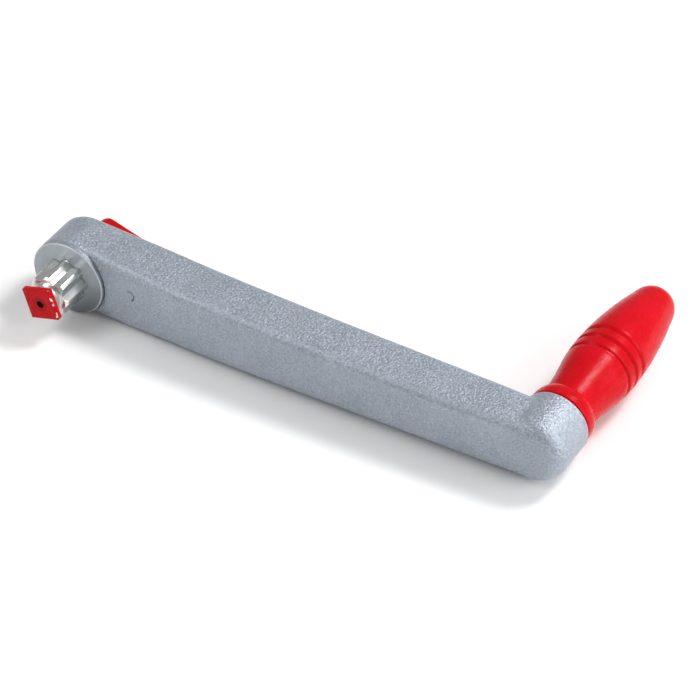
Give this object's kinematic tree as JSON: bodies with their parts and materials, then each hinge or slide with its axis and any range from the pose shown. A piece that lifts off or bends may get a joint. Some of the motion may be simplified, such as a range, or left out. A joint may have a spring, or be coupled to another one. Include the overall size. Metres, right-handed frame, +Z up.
{
  "type": "lock-in winch handle",
  "caption": "Cranked winch handle with a star drive stud, a sprung lock plate worked by a thumb lever, and a free-turning grip with three grooves.",
  "frame": {"origin": "on the drive stud's axis, where it meets the seating face of the head", "axes": "+X along the arm from the stud to the grip, -Y the way the stud points, +Y the way the grip points, +Z up across the arm's width, as the handle lies on its side"},
  "size_m": [0.2917, 0.1562, 0.0404],
  "materials": {
    "arm_paint": "silver-grey paint with a fine hammered texture",
    "seat_paint": "smooth silver-grey paint, satin",
    "bright_alloy": "bright machined alloy",
    "steel": "plain stainless steel",
    "red_paint": "gloss red paint, chipped at the edges",
    "red_plastic": "moulded red plastic, satin gloss with light scuffs",
    "black_nylon": "black nylon, matt",
    "white_nylon": "natural nylon, matt",
    "rubber": "black rubber seal"
  },
  "bodies": {
    "frame": {"arm": "arm_paint", "seat_plate": "seat_paint", "drive_stud": "bright_alloy", "stud_nut": "steel", "shaft_oring": "rubber", "hub_bush": "black_nylon", "return_spring": "steel", "grip_axle": "steel", "thrust_washer": "black_nylon", "clip_washer": "steel", "axle_clip": "steel"},
    "lock": {"lock_shaft": "steel", "lock_plate": "red_paint", "plate_screw": "red_paint", "lock_lever": "red_plastic", "lever_washer": "steel", "lever_screw": "steel"},
    "grip": {"grip": "red_plastic", "lower_bush": "white_nylon", "upper_bush": "white_nylon"}
  },
  "joints": [
    {"name": "lock_turn", "type": "hinge", "parent": "frame", "child": "lock", "pos_m": [0, 0, 0], "axis": [0, -1, 0], "range_deg": [0, 28], "stiffness_Nm_per_rad": 0.1, "springref_deg": -20.05, "deforming": ["return_spring"]},
    {"name": "grip_spin", "type": "hinge", "parent": "frame", "child": "grip", "pos_m": [0.254, 0, 0], "axis": [0, 1, 0], "continuous": true}
  ]
}
